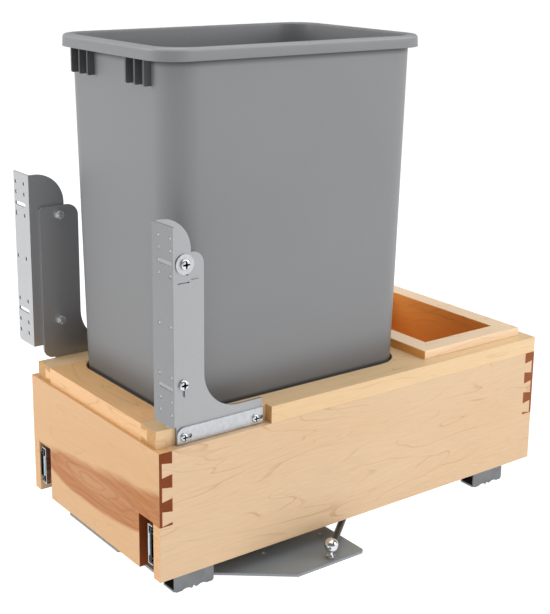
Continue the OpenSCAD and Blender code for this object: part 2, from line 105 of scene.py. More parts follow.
def ease(piece, width, segments=2):
    """Rounds a piece's sharp edges by width, in metres: merges its corners, joins flat triangles, bevels."""
    weld = piece.modifiers.new("merge", "WELD")
    weld.merge_threshold = 0.01 * MM
    join = piece.modifiers.new("flats", "DECIMATE")
    join.decimate_type = "DISSOLVE"
    join.angle_limit = math.radians(0.4)
    bevel = piece.modifiers.new("eased edges", "BEVEL")
    bevel.width = width
    bevel.segments = segments
    bevel.limit_method = "ANGLE"
    bevel.angle_limit = math.radians(38)
    bevel.harden_normals = True


def solid(name, parts, material, body, smooth=True):
    """One mesh over closed grids of points, parts[k][i, j] being point j of ring i of part k. The first and
    last ring of each part are filled. Faces point to the left of ring order. It rides on the body."""
    points, faces, start = [], [], 0
    for rings in parts:
        rings = np.asarray(rings, float)
        count, size = rings.shape[:2]
        index = start + np.arange(count * size).reshape(count, size)
        after = np.roll(index, -1, axis=1)
        faces += np.stack([index[:-1], after[:-1], after[1:], index[1:]], -1).reshape(-1, 4).tolist()
        faces += [index[0][::-1].tolist(), index[-1].tolist()]
        points.append(rings.reshape(-1, 3))
        start += count * size
    mesh = bpy.data.meshes.new(name)
    mesh.from_pydata(np.concatenate(points).tolist(), [], faces)
    mesh.materials.append(material)
    mesh.polygons.foreach_set("use_smooth", [smooth] * len(mesh.polygons))
    mesh.update()
    piece = bpy.data.objects.new(name, mesh)
    bpy.context.scene.collection.objects.link(piece)
    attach(piece, body)
    return piece


def round_outline(half_x, half_y, radius, steps, side):
    """Rounded rectangles, one for each entry of the three arrays: four quarter circles of that radius about
    the corner centres, joined by straight sides with side - 1 points between. Counter-clockwise from +X."""
    half_x, half_y, radius = (np.atleast_1d(np.asarray(a, float))[:, None] for a in (half_x, half_y, radius))
    turn = np.linspace(0, math.pi / 2, steps)[None, :]
    share = np.linspace(0, 1, side + 1)[1:-1][None, :]
    x, y = [], []
    for k, (sx, sy) in enumerate([(1, 1), (-1, 1), (-1, -1), (1, -1)]):
        angle = turn + k * math.pi / 2
        cx, cy = sx * (half_x - radius), sy * (half_y - radius)
        x.append(cx + radius * np.cos(angle))
        y.append(cy + radius * np.sin(angle))
        nx, ny = [(-1, 1), (-1, -1), (1, -1), (1, 1)][k]
        last = (k + 1) * math.pi / 2
        ax, ay = cx + radius * math.cos(last), cy + radius * math.sin(last)
        bx = nx * (half_x - radius) + radius * math.cos(last)
        by = ny * (half_y - radius) + radius * math.sin(last)
        x.append(ax + (bx - ax) * share)
        y.append(ay + (by - ay) * share)
    return np.concatenate(x, 1), np.concatenate(y, 1)


def lathe(profile, start, along, steps):
    """A turned shape: the profile's (distance, radius) pairs carried round the axis from start along a
    direction. Point = start + along * distance + radius * (cos * first + sin * second)."""
    profile = np.asarray(profile, float)
    along = np.asarray(along, float) / np.linalg.norm(along)
    first = np.cross(along, [0, 0, 1] if abs(along[2]) < 0.9 else [1, 0, 0])
    first /= np.linalg.norm(first)
    second = np.cross(along, first)
    turn = np.linspace(0, 2 * math.pi, steps, endpoint=False)
    circle = np.cos(turn)[:, None] * first + np.sin(turn)[:, None] * second
    return (np.asarray(start, float) + profile[:, 0, None, None] * along
            + profile[:, 1, None, None] * circle[None])


# ---------- settings ----------

def tint(name, description, code):
    """A colour property whose default is an sRGB hex value."""
    return bpy.props.FloatVectorProperty(name=name, description=description, subtype="COLOR", size=4,
                                         min=0, max=1, default=linear(code))


class WasteWoodSettings(bpy.types.PropertyGroup):
    """Colours and edges of the lacquered maple."""
    side: tint("Side boards", "Sapwood of the side and rear boards", "#DBBC98")
    front: tint("Front board", "Sapwood of the front board", "#D7AB7A")
    heart: tint("Heartwood", "Brown figure across the front board", "#B06816")
    top: tint("Top frame", "Boards of the top frame", "#E6C79C")
    # partly painted shade: the top frame's front board is warmer than the other top boards, standing in for the shade
    # and reflected colour on its top face
    lead: tint("Top front board", "Front board of the top frame, painted warmer to stand in for shade", "#EABB85")
    tray: tint("Tray", "Walls and floor of the tray", "#F0AA56")
    rim: tint("Tray rim", "Mitred strips round the tray", "#FBE0C0")
    edge: bpy.props.FloatProperty(name="Eased edge", description="Rounding of the boards' edges",
                                  unit="LENGTH", default=0.7 * MM, min=0.1 * MM, max=3 * MM)


class WasteBinSettings(bpy.types.PropertyGroup):
    """Sizes and colour of the moulded bin."""
    colour: tint("Plastic", "Grey of the moulded bin", "#7D7E80")
    wall: bpy.props.FloatProperty(name="Wall", description="Thickness of the bin's wall",
                                  unit="LENGTH", default=2.8 * MM, min=1 * MM, max=6 * MM)
    rim_height: bpy.props.FloatProperty(name="Rim height", description="Height of the turned-down rim",
                                        unit="LENGTH", default=14 * MM, min=6 * MM, max=30 * MM)
    rim_round: bpy.props.FloatProperty(name="Rim rounding", description="Radius over the rim's outer edge",
                                       unit="LENGTH", default=4 * MM, min=1 * MM, max=6 * MM)
    bow: bpy.props.FloatProperty(name="Wall bow", description="How far the long walls bow outwards",
                                 unit="LENGTH", default=0.2 * MM, min=0, max=2 * MM)


class WasteSteelSettings(bpy.types.PropertyGroup):
    """Colours of the metal parts."""
    coat: tint("Powder coat", "Silver grey coat of the door brackets", "#A3A4A6")
    plate: tint("Floor plate", "Grey coat of the floor plate", "#8C9296")
    zinc: tint("Zinc", "Bright zinc plate of cleats and screws", "#D6D9DC")


class WasteStageSettings(bpy.types.PropertyGroup):
    """Floor, lights and camera."""
    floor: tint("Floor", "Colour of the studio floor", "#9A9A9A")
    key: bpy.props.FloatProperty(name="Key light", description="Power of the soft light from the right",
                                 subtype="POWER", default=31, min=0, max=500)
    lens: bpy.props.FloatProperty(name="Lens", description="Focal length on a 36 mm sensor",
                                  subtype="NONE", default=73.39, min=20, max=200)


# ---------- materials ----------

def lacquered_maple(name, grain, sap, shift=(0, 0, 0), line="#B98A58", end="#B5835A", figure=0.5,
                    ring=11.0, heart=None):
    """Sawn hard maple, sanded and sprayed with clear satin lacquer. To the eye: a pale even ground with
    faint growth rings cut nearly flat, thin wandering brown lines, fine short fibres, darker end grain,
    and a soft coat over all. grain is the axis that the fibres run along, X or Y."""
    material, tree, shader = new_material(name)
    place = shade(tree, "TexCoord")
    turn = (0, 0, -math.pi / 2) if grain == "Y" else (0, 0, 0)
    along = shade(tree, "Mapping", {"Vector": place.outputs["Object"], "Location": shift, "Rotation": turn})
    # the board's slight waviness: about 300 mm along the fibres and 60 mm across
    slow = shade(tree, "Mapping", {"Vector": along.outputs[0], "Scale": (3.2, 15, 15)})
    wave = shade(tree, "TexNoise", {"Vector": slow.outputs[0], "Scale": 1.0, "Detail": 3.0, "Roughness": 0.45})
    centred = shade(tree, "VectorMath", {0: wave.outputs["Color"], 1: (0.5, 0.5, 0.5)}, operation="SUBTRACT")
    bent = shade(tree, "VectorMath", {0: centred.outputs[0], 1: (0.05, 0.05, 0.05), 2: along.outputs[0]},
                 operation="MULTIPLY_ADD")
    # growth rings cut flat: contour lines of an uneven surface, long along the fibres. Each line comes up
    # softly and ends sharply, 1 to 3 mm wide
    hill = shade(tree, "Mapping", {"Vector": bent.outputs[0], "Scale": (2.3, 15, 15), "Location": (1.7, 4.1, 2.9)})
    hill_noise = shade(tree, "TexNoise", {"Vector": hill.outputs[0], "Scale": 1.0, "Detail": 2.6,
                                          "Roughness": 0.42, "Distortion": 0.3})
    level = shade(tree, "Math", {0: hill_noise.outputs["Fac"], 1: ring}, operation="MULTIPLY")
    late = shade(tree, "Math", {0: level.outputs[0]}, operation="FRACT")
    late_line = shade(tree, "MapRange", {"Value": late.outputs[0], "From Min": 0.87, "From Max": 1.0},
                      interpolation_type="SMOOTHSTEP")
    # where the rings show and where they fade, in patches of about 100 mm
    patch = shade(tree, "TexNoise", {"Vector": slow.outputs[0], "Scale": 2.3, "Detail": 1.0})
    shown = shade(tree, "MapRange", {"Value": patch.outputs["Fac"], "From Min": 0.38, "From Max": 0.62,
                                     "To Min": 0.1 * figure, "To Max": figure}, interpolation_type="SMOOTHSTEP")
    ring_amount = shade(tree, "Math", {0: late_line.outputs[0], 1: shown.outputs[0]}, operation="MULTIPLY")
    # a few thin mineral streaks: where a stretched noise crosses its middle, under 1 mm wide
    strand = shade(tree, "Mapping", {"Vector": bent.outputs[0], "Scale": (9, 42, 42), "Location": (3.1, 0.7, 5.3)})
    strand_noise = shade(tree, "TexNoise", {"Vector": strand.outputs[0], "Scale": 1.0, "Detail": 1.5})
    from_middle = shade(tree, "Math", {0: strand_noise.outputs["Fac"], 1: 0.5}, operation="SUBTRACT")
    gap = shade(tree, "Math", {0: from_middle.outputs[0]}, operation="ABSOLUTE")
    thin = shade(tree, "MapRange", {"Value": gap.outputs[0], "From Min": 0.0, "From Max": 0.014,
                                    "To Min": 1.0, "To Max": 0.0}, interpolation_type="SMOOTHSTEP")
    seldom = shade(tree, "MapRange", {"Value": patch.outputs["Color"], "From Min": 0.54, "From Max": 0.7,
                                      "To Max": figure * 1.4}, interpolation_type="SMOOTHSTEP")
    thin_amount = shade(tree, "Math", {0: thin.outputs[0], 1: seldom.outputs[0]}, operation="MULTIPLY")
    # fibres are 0.1 mm wide; drawn 1.5 mm wide and 40 mm long so that they show
    fibre = shade(tree, "Mapping", {"Vector": bent.outputs[0], "Scale": (25, 650, 650)})
    fibre_noise = shade(tree, "TexNoise", {"Vector": fibre.outputs[0], "Scale": 1.0, "Detail": 2.0})
    tone = shade(tree, "MapRange", {"Value": wave.outputs["Fac"], "From Min": 0.3, "From Max": 0.7})
    warm = tuple(c * f for c, f in zip(sap, (0.96, 0.92, 0.87))) + (1.0,)
    ground = shade(tree, "Mix", {0: tone.outputs[0], 6: tuple(sap), 7: warm}, data_type="RGBA")
    base = ground.outputs[2]
    if heart is not None:
        base = heartwood(tree, place.outputs["Object"], wave.outputs["Color"], base, heart)
    ringed = shade(tree, "Mix", {0: ring_amount.outputs[0], 6: base, 7: linear(line)}, data_type="RGBA")
    lined = shade(tree, "Mix", {0: thin_amount.outputs[0], 6: ringed.outputs[2], 7: linear(line)}, data_type="RGBA")
    grey = shade(tree, "MapRange", {"Value": fibre_noise.outputs["Fac"], "From Min": 0.25, "From Max": 0.75,
                                    "To Min": 0.94, "To Max": 1.04})
    fine = shade(tree, "VectorMath", {0: lined.outputs[2], 1: grey.outputs[0]}, operation="MULTIPLY")
    # end grain: cut fibres drink the lacquer and go darker, with pores drawn 2 mm apart
    fibre_axis = (0, 1, 0) if grain == "Y" else (1, 0, 0)
    facing = shade(tree, "VectorMath", {0: place.outputs["Normal"], 1: fibre_axis}, operation="DOT_PRODUCT")
    cut = shade(tree, "Math", {0: facing.outputs["Value"]}, operation="ABSOLUTE")
    is_end = shade(tree, "MapRange", {"Value": cut.outputs[0], "From Min": 0.75, "From Max": 0.9})
    pores = shade(tree, "TexNoise", {"Vector": place.outputs["Object"], "Scale": 520.0, "Detail": 1.0})
    pore_tone = shade(tree, "MapRange", {"Value": pores.outputs["Fac"], "From Min": 0.3, "From Max": 0.7,
                                         "To Min": 0.86, "To Max": 1.08})
    end_colour = shade(tree, "VectorMath", {0: linear(end)[:3], 1: pore_tone.outputs[0]}, operation="MULTIPLY")
    final = shade(tree, "Mix", {0: is_end.outputs[0], 6: fine.outputs[0], 7: end_colour.outputs[0]},
                  data_type="RGBA")
    bump = shade(tree, "Bump", {"Height": fibre_noise.outputs["Fac"], "Strength": 0.12, "Distance": 0.0003})
    gloss = shade(tree, "MapRange", {"Value": fibre_noise.outputs["Fac"], "To Min": 0.38, "To Max": 0.5})
    tree.links.new(final.outputs[2], shader.inputs["Base Color"])
    tree.links.new(gloss.outputs[0], shader.inputs["Roughness"])
    tree.links.new(bump.outputs[0], shader.inputs["Normal"])
    shader.inputs["IOR"].default_value = 1.5
    # the coat sinks into cut ends, so they shine less
    shine = shade(tree, "MapRange", {"Value": is_end.outputs[0], "To Min": 0.35, "To Max": 0.1})
    coat = shade(tree, "MapRange", {"Value": is_end.outputs[0], "To Min": 0.12, "To Max": 0.02})
    tree.links.new(shine.outputs[0], shader.inputs["Specular IOR Level"])
    tree.links.new(coat.outputs[0], shader.inputs["Coat Weight"])
    shader.inputs["Coat Roughness"].default_value = 0.25
    return material


def heartwood(tree, place, wave, base, heart):
    """The brown heartwood that runs down the front board: the band between a rising upper edge and a sagging
    lower edge, with nested loops inside it. Returns the colour socket."""
    sway = shade(tree, "VectorMath", {0: wave, 1: (0.5, 0.5, 0.5)}, operation="SUBTRACT")
    bowed = shade(tree, "VectorMath", {0: sway.outputs[0], 1: (0.03, 0.0, 0.02), 2: place},
                  operation="MULTIPLY_ADD")
    ripple = shade(tree, "Mapping", {"Vector": place, "Scale": (18, 0, 85)})
    ripple_noise = shade(tree, "TexNoise", {"Vector": ripple.outputs[0], "Scale": 1.0, "Detail": 2.0})
    small = shade(tree, "VectorMath", {0: ripple_noise.outputs["Color"], 1: (0.5, 0.5, 0.5)}, operation="SUBTRACT")
    moved = shade(tree, "VectorMath", {0: small.outputs[0], 1: (0.02, 0.0, 0.009), 2: bowed.outputs[0]},
                  operation="MULTIPLY_ADD")
    part = shade(tree, "SeparateXYZ", {0: moved.outputs[0]})
    x, z = part.outputs["X"], part.outputs["Z"]
    upper = shade(tree, "Math", {0: x, 1: 0.147, 2: 0.1035}, operation="MULTIPLY_ADD")
    below = shade(tree, "Math", {0: upper.outputs[0], 1: z}, operation="SUBTRACT")
    off = shade(tree, "Math", {0: x, 1: 0.012}, operation="ADD")
    square = shade(tree, "Math", {0: off.outputs[0], 1: off.outputs[0]}, operation="MULTIPLY")
    lower = shade(tree, "Math", {0: square.outputs[0], 1: 1.0, 2: 0.0515}, operation="MULTIPLY_ADD")
    above = shade(tree, "Math", {0: z, 1: lower.outputs[0]}, operation="SUBTRACT")
    under_edge = shade(tree, "MapRange", {"Value": below.outputs[0], "From Min": -0.004, "From Max": 0.007},
                       interpolation_type="SMOOTHSTEP")
    over_edge = shade(tree, "MapRange", {"Value": above.outputs[0], "From Min": -0.002, "From Max": 0.004},
                      interpolation_type="SMOOTHSTEP")
    band = shade(tree, "Math", {0: under_edge.outputs[0], 1: over_edge.outputs[0]}, operation="MULTIPLY")
    # nested loops: distance from the core, measured as an ellipse 125 mm by 24 mm, tilted with the band
    core = shade(tree, "Mapping", {"Vector": moved.outputs[0], "Location": (-0.004, 0.0, -0.084),
                                   "Rotation": (0, 0.06, 0)})
    oval = shade(tree, "VectorMath", {0: core.outputs[0], 1: (8.0, 0.0, 42.0)}, operation="MULTIPLY")
    far = shade(tree, "VectorMath", {0: oval.outputs[0]}, operation="LENGTH")
    loops = shade(tree, "Math", {0: far.outputs["Value"], 1: 4.0}, operation="MULTIPLY")
    saw = shade(tree, "Math", {0: loops.outputs[0]}, operation="FRACT")
    loop_line = shade(tree, "MapRange", {"Value": saw.outputs[0], "From Min": 0.6, "From Max": 1.0,
                                         "To Max": 0.4}, interpolation_type="SMOOTHSTEP")
    core_light = shade(tree, "MapRange", {"Value": far.outputs["Value"], "From Min": 0.15, "From Max": 0.75,
                                          "To Min": 0.68, "To Max": 1.0}, interpolation_type="SMOOTHSTEP")
    # fine streaks along the band, drawn 4 mm apart
    lean = shade(tree, "Mapping", {"Vector": moved.outputs[0], "Rotation": (0, 0.13, 0), "Scale": (9, 0, 240)})
    streak = shade(tree, "TexNoise", {"Vector": lean.outputs[0], "Scale": 1.0, "Detail": 2.0})
    streaked = shade(tree, "MapRange", {"Value": streak.outputs["Fac"], "From Min": 0.3, "From Max": 0.7,
                                        "To Min": 0.78, "To Max": 1.12})
    inside = shade(tree, "Math", {0: core_light.outputs[0], 1: streaked.outputs[0]}, operation="MULTIPLY")
    depth = shade(tree, "Math", {0: inside.outputs[0], 1: band.outputs[0]}, operation="MULTIPLY", use_clamp=True)
    tinted = shade(tree, "Mix", {0: depth.outputs[0], 6: base, 7: tuple(heart)}, data_type="RGBA")
    loop_amount = shade(tree, "Math", {0: loop_line.outputs[0], 1: band.outputs[0]}, operation="MULTIPLY")
    ringed = shade(tree, "Mix", {0: loop_amount.outputs[0], 6: tinted.outputs[2], 7: linear("#8A4E1E")},
                   data_type="RGBA")
    return ringed.outputs[2]


def moulded_polypropylene(name, colour, rim_z=None, frame_z=None):
    """Injection-moulded polypropylene with a fine spark-eroded texture: an even grey, slightly soft sheen,
    faint flow clouds, and a grain of 0.2 mm, drawn 0.8 mm wide so that it shows. Given the heights of the rim
    and of the frame round the wall, the colour is painted darker in a band under the rim and round the frame, and
    lighter on the rim's edge. These tones stand in for shade and highlight; they aren't the plastic's own."""
    material, tree, shader = new_material(name)
    place = shade(tree, "TexCoord").outputs["Object"]
    cloud = shade(tree, "TexNoise", {"Vector": place, "Scale": 7.0, "Detail": 2.0})
    tone = shade(tree, "MapRange", {"Value": cloud.outputs["Fac"], "From Min": 0.3, "From Max": 0.7,
                                    "To Min": 0.965, "To Max": 1.03})
    base = shade(tree, "VectorMath", {0: tuple(colour)[:3], 1: tone.outputs[0]}, operation="MULTIPLY")
    if rim_z is not None:
        height = shade(tree, "SeparateXYZ", {0: place}).outputs["Z"]
        # 8 mm under the rim, ending sharply at the rim's lower edge
        under = shade(tree, "MapRange", {"Value": height, "From Min": rim_z - 8 * MM, "From Max": rim_z,
                                         "To Min": 1.0, "To Max": 0.22}, interpolation_type="SMOOTHSTEP")
        over = shade(tree, "Math", {0: height, 1: rim_z - 0.1 * MM}, operation="GREATER_THAN")
        # only on the outside, where the surface faces away from the bin's middle
        flat = shade(tree, "VectorMath", {0: place, 1: (1, 1, 0)}, operation="MULTIPLY")
        faces_out = shade(tree, "VectorMath", {0: flat.outputs[0], 1: shade(tree, "NewGeometry").outputs["Normal"]},
                          operation="DOT_PRODUCT")
        inner = shade(tree, "Math", {0: faces_out.outputs["Value"], 1: 0.0}, operation="LESS_THAN")
        free = shade(tree, "Math", {0: over.outputs[0], 1: inner.outputs[0]}, operation="MAXIMUM")
        band = shade(tree, "Mix", {0: free.outputs[0], 2: under.outputs[0], 3: 1.0})
        # how far above the frame, or four times how far below it, so that the tone ends soon below the frame
        above = shade(tree, "Math", {0: height, 1: frame_z}, operation="SUBTRACT")
        below = shade(tree, "Math", {0: above.outputs[0], 1: -4.0}, operation="MULTIPLY")
        away = shade(tree, "Math", {0: above.outputs[0], 1: below.outputs[0]}, operation="MAXIMUM")
        # 55 mm above the frame, fading upwards
        low = shade(tree, "MapRange", {"Value": away.outputs[0], "From Min": 0.0, "From Max": 55 * MM,
                                       "To Min": 0.66, "To Max": 1.0}, interpolation_type="SMOOTHERSTEP")
        # and a dark line where the wall goes into the cut-out
        line = shade(tree, "MapRange", {"Value": away.outputs[0], "From Min": 0.0, "From Max": 5 * MM,
                                        "To Min": 0.3, "To Max": 1.0}, interpolation_type="SMOOTHSTEP")
        lower = shade(tree, "Math", {0: low.outputs[0], 1: line.outputs[0]}, operation="MULTIPLY")
        # the rolled outer edge of the rim is painted lighter, over its top 4 mm
        edge = shade(tree, "MapRange", {"Value": height, "From Min": rim_z + 9.5 * MM, "From Max": rim_z + 12 * MM,
                                        "To Max": 0.4}, interpolation_type="SMOOTHSTEP")
        outer = shade(tree, "Math", {0: 1.0, 1: inner.outputs[0]}, operation="SUBTRACT")
        light = shade(tree, "Math", {0: edge.outputs[0], 1: outer.outputs[0], 2: 1.0}, operation="MULTIPLY_ADD")
        dark = shade(tree, "Math", {0: band.outputs[0], 1: lower.outputs[0]}, operation="MULTIPLY")
        both = shade(tree, "Math", {0: dark.outputs[0], 1: light.outputs[0]}, operation="MULTIPLY")
        base = shade(tree, "VectorMath", {0: base.outputs[0], 1: both.outputs[0]}, operation="MULTIPLY")
    spark = shade(tree, "TexNoise", {"Vector": place, "Scale": 1250.0, "Detail": 1.0})
    rough = shade(tree, "MapRange", {"Value": cloud.outputs["Fac"], "To Min": 0.4, "To Max": 0.5})
    bump = shade(tree, "Bump", {"Height": spark.outputs["Fac"], "Strength": 0.18, "Distance": 0.0002})
    tree.links.new(base.outputs[0], shader.inputs["Base Color"])
    tree.links.new(rough.outputs[0], shader.inputs["Roughness"])
    tree.links.new(bump.outputs[0], shader.inputs["Normal"])
    shader.inputs["IOR"].default_value = 1.49
    return material


def powder_coat(name, colour, metallic=0.8, rough=0.4, front=1.0):
    """Mild steel sheet with baked polyester powder coat: smooth grey with a little metal flake, a soft
    orange-peel surface about 2 mm across, and small light specks. The colour of faces towards -Y is multiplied
    by front, a painted tone that stands in for light and isn't the coat's own."""
    material, tree, shader = new_material(name)
    coordinates = shade(tree, "TexCoord")
    place = coordinates.outputs["Object"]
    peel = shade(tree, "TexNoise", {"Vector": place, "Scale": 480.0, "Detail": 1.0})
    speck = shade(tree, "TexNoise", {"Vector": place, "Scale": 1500.0, "Detail": 0.0})
    tone = shade(tree, "MapRange", {"Value": speck.outputs["Fac"], "From Min": 0.3, "From Max": 0.7,
                                    "To Min": 0.95, "To Max": 1.05})
    base = shade(tree, "VectorMath", {0: tuple(colour)[:3], 1: tone.outputs[0]}, operation="MULTIPLY")
    if front != 1.0:
        facing = shade(tree, "VectorMath", {0: coordinates.outputs["Normal"], 1: (0, -1, 0)},
                       operation="DOT_PRODUCT")
        painted = shade(tree, "MapRange", {"Value": facing.outputs["Value"], "From Min": 0.6, "From Max": 0.95,
                                           "To Min": 1.0, "To Max": front})
        base = shade(tree, "VectorMath", {0: base.outputs[0], 1: painted.outputs[0]}, operation="MULTIPLY")
    haze = shade(tree, "TexNoise", {"Vector": place, "Scale": 18.0, "Detail": 3.0})
    gloss = shade(tree, "MapRange", {"Value": haze.outputs["Fac"], "To Min": rough - 0.07, "To Max": rough + 0.07})
    bump = shade(tree, "Bump", {"Height": peel.outputs["Fac"], "Strength": 0.1, "Distance": 0.0003})
    tree.links.new(base.outputs[0], shader.inputs["Base Color"])
    tree.links.new(gloss.outputs[0], shader.inputs["Roughness"])
    tree.links.new(bump.outputs[0], shader.inputs["Normal"])
    shader.inputs["Metallic"].default_value = metallic
    return material


def plated_steel(name, colour, rough=0.3, mottle=40.0, contrast=0.16, rolled=False):
    """Steel with an electroplated or hot-dipped zinc skin: bright metal, mottled where the zinc crystals
    meet the light in different ways. Rolled steel has its mottle drawn out along Y."""
    material, tree, shader = new_material(name)
    place = shade(tree, "TexCoord").outputs["Object"]
    grain = shade(tree, "Mapping", {"Vector": place, "Scale": (1, 0.06, 1) if rolled else (1, 1, 1)})
    crystal = shade(tree, "TexNoise", {"Vector": grain.outputs[0], "Scale": mottle * 6, "Detail": 2.0})
    patch = shade(tree, "TexVoronoi", {"Vector": grain.outputs[0], "Scale": mottle * 3})
    mixed = shade(tree, "Mix", {0: 0.4, 2: crystal.outputs["Fac"], 3: patch.outputs["Distance"]})
    tone = shade(tree, "MapRange", {"Value": mixed.outputs[0], "From Min": 0.25, "From Max": 0.75,
                                    "To Min": 1.0 - contrast, "To Max": 1.0 + contrast * 0.4})
    base = shade(tree, "VectorMath", {0: tuple(colour)[:3], 1: tone.outputs[0]}, operation="MULTIPLY")
    gloss = shade(tree, "MapRange", {"Value": mixed.outputs[0], "From Min": 0.2, "From Max": 0.8,
                                     "To Min": rough - 0.08, "To Max": rough + 0.12})
    bump = shade(tree, "Bump", {"Height": crystal.outputs["Fac"], "Strength": 0.08, "Distance": 0.0002})
    tree.links.new(base.outputs[0], shader.inputs["Base Color"])
    tree.links.new(gloss.outputs[0], shader.inputs["Roughness"])
    tree.links.new(bump.outputs[0], shader.inputs["Normal"])
    shader.inputs["Metallic"].default_value = 1.0
    return material


def smooth_finish(name, code, rough, metallic=0.0):
    """A smooth skin with faint handling marks: painted or nitrided steel, polished plate or glossy plastic.
    The marks are soft clouds about 15 mm across that change the gloss a little."""
    wear = 0.04
    material, tree, shader = new_material(name)
    place = shade(tree, "TexCoord").outputs["Object"]
    marks = shade(tree, "TexNoise", {"Vector": place, "Scale": 70.0, "Detail": 3.0})
    gloss = shade(tree, "MapRange", {"Value": marks.outputs["Fac"], "From Min": 0.3, "From Max": 0.7,
                                     "To Min": max(0.02, rough - wear), "To Max": rough + wear})
    tone = shade(tree, "MapRange", {"Value": marks.outputs["Fac"], "From Min": 0.3, "From Max": 0.7,
                                    "To Min": 0.94, "To Max": 1.04})
    base = shade(tree, "VectorMath", {0: linear(code)[:3], 1: tone.outputs[0]}, operation="MULTIPLY")
    tree.links.new(base.outputs[0], shader.inputs["Base Color"])
    tree.links.new(gloss.outputs[0], shader.inputs["Roughness"])
    shader.inputs["Metallic"].default_value = metallic
    return material


# ---------- pieces ----------

# boards that meet at a joint are eased by this share of the eased edge, so that the joint stays tight
JOINT_EASE = 0.6


class WasteBox(bpy.types.Operator):
    """Finish the dovetailed wooden box: sides, front with its heartwood, rear and bottom"""
    bl_idname = "waste_unit.box"
    bl_label = "Wooden box"

    def execute(self, context):
        wood = context.scene.waste_wood
        side = lacquered_maple("lacquered maple, side boards", "Y", wood.side, (0.31, 0.1, 0.02),
                               line="#B47F4C", end="#DDB083", figure=0.42, ring=13.0)
        front = lacquered_maple("lacquered maple, front board", "X", wood.front, (0.2, 0.4, 0.9),
                                end="#7F3F1D", figure=0.25, heart=wood.heart)
        rear = lacquered_maple("lacquered maple, rear board", "X", wood.side, (1.2, 0.7, 0.3),
                               end="#93532F", figure=0.5)
        bottom = lacquered_maple("lacquered maple, bottom board", "Y", wood.side, (2.2, 1.7, 0.1))
        dress(side, "side_panel_right", "side_panel_left")
        dress(front, "front_panel")
        dress(rear, "rear_panel")
        dress(bottom, "bottom_panel")
        for name in ("side_panel_right", "side_panel_left", "front_panel", "rear_panel"):
            ease(NODES[name], wood.edge * JOINT_EASE)
        ease(NODES["bottom_panel"], wood.edge)
        return {"FINISHED"}


class WasteTopFrame(bpy.types.Operator):
    """Finish the top frame's five boards"""
    bl_idname = "waste_unit.top_frame"
    bl_label = "Top frame"

    def execute(self, context):
        wood = context.scene.waste_wood
        # partly painted shade: this board takes the warmer lead colour, standing in for the shade and reflected colour
        # on its top face
        front = lacquered_maple("lacquered maple, top front board", "X", wood.lead, (0.9, 0.2, 0.5),
                                end="#B07A48", figure=0.4)
        side = lacquered_maple("lacquered maple, top side boards", "Y", wood.top, (1.5, 0.9, 0.25),
                               end="#C89A66", figure=0.4)
        middle = lacquered_maple("lacquered maple, top cross boards", "X", wood.top, (1.9, 0.4, 0.7),
                                 end="#B07A48", figure=0.3)
        dress(front, "top_front_board")
        dress(side, "top_side_right", "top_side_left")
        dress(middle, "top_middle_board", "top_rear_board")
        for name in ("top_front_board", "top_side_right", "top_side_left", "top_middle_board", "top_rear_board"):
            ease(NODES[name], wood.edge * JOINT_EASE)
        return {"FINISHED"}


class WasteTray(bpy.types.Operator):
    """Finish the tray and build the four mitred strips round its mouth"""
    bl_idname = "waste_unit.tray"
    bl_label = "Tray"

    def execute(self, context):
        wood = context.scene.waste_wood
        inside = lacquered_maple("lacquered maple, tray walls", "X", wood.tray, (0.5, 1.1, 0.35),
                                 line="#A56C34", end="#9C6230", figure=0.34)
        ends = lacquered_maple("lacquered maple, tray ends", "Y", wood.tray, (0.8, 1.4, 0.1),
                               line="#A56C34", end="#9C6230", figure=0.34)
        dress(inside, "tray_front_wall", "tray_rear_wall", "tray_floor")
        dress(ends, "tray_side_walls")
        low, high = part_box("tray_rim")
        mouth_low, mouth_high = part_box("tray_floor")
        near = 0.2 * MM
        # name, the axis it runs along, and its edges at the mouth and outside
        strips = (("front", "X", mouth_low.y, low.y), ("rear", "X", mouth_high.y, high.y),
                  ("right", "Y", mouth_high.x, high.x), ("left", "Y", -mouth_high.x, low.x))
        for name, grain, side_in, side_out in strips:
            shift = (0.3, 0.2, 0.6) if name in ("front", "right") else (1.1, 0.8, 0.2)
            wooden = lacquered_maple("lacquered maple, tray rim " + name, grain, wood.rim, shift, figure=0.3)
            if grain == "X":
                rings = mitred_strip(-mouth_high.x, mouth_high.x, low.x, high.x, side_in, side_out,
                                     low.z, high.z, wood.edge)
            else:
                rings = mitred_strip(mouth_low.y, mouth_high.y, low.y, high.y, side_in, side_out,
                                     low.z, high.z, wood.edge)
                rings = rings[..., [1, 0, 2]][:, ::-1]
            if name in ("front", "left"):
                rings = rings[:, ::-1]
            piece = solid("tray_rim_" + name, [rings], wooden, "frame", smooth=False)
            # painted shade and reflection: the face towards the mouth, and the front strip's front face, are brown
            # like the tray's walls, standing in for the shade and the tray's reflected colour on the rim's own maple
            piece.data.materials.append(inside if grain == "X" else ends)
            across = 1 if grain == "X" else 0
            brown = [int(abs(face.center[across] - side_in) < near
                         or (name == "front" and abs(face.center.y - low.y) < near))
                     for face in piece.data.polygons]
            piece.data.polygons.foreach_set("material_index", brown)
            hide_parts("tray_rim")
        return {"FINISHED"}


def mitred_strip(in_0, in_1, out_0, out_1, side_in, side_out, low, high, edge):
    """One rim strip: an upright rounded-rectangle section carried along a line, with both ends cut on the
    mitre. A point at share s across the strip starts at in_0 + (out_0 - in_0) * s and ends at
    in_1 + (out_1 - in_1) * s, so neighbouring strips meet on the same plane."""
    width, tall = abs(side_out - side_in), high - low
    across, up = round_outline([width / 2], [tall / 2], [edge], 4, 2)
    across, up = across[0] / width + 0.5, up[0] + (low + high) / 2
    share = np.linspace(0, 1, 9)[:, None]
    start, stop = in_0 + (out_0 - in_0) * across, in_1 + (out_1 - in_1) * across
    length = start + (stop - start) * share
    side = np.broadcast_to(side_in + (side_out - side_in) * across, length.shape)
    return np.stack([length, side, np.broadcast_to(up, length.shape)], -1)


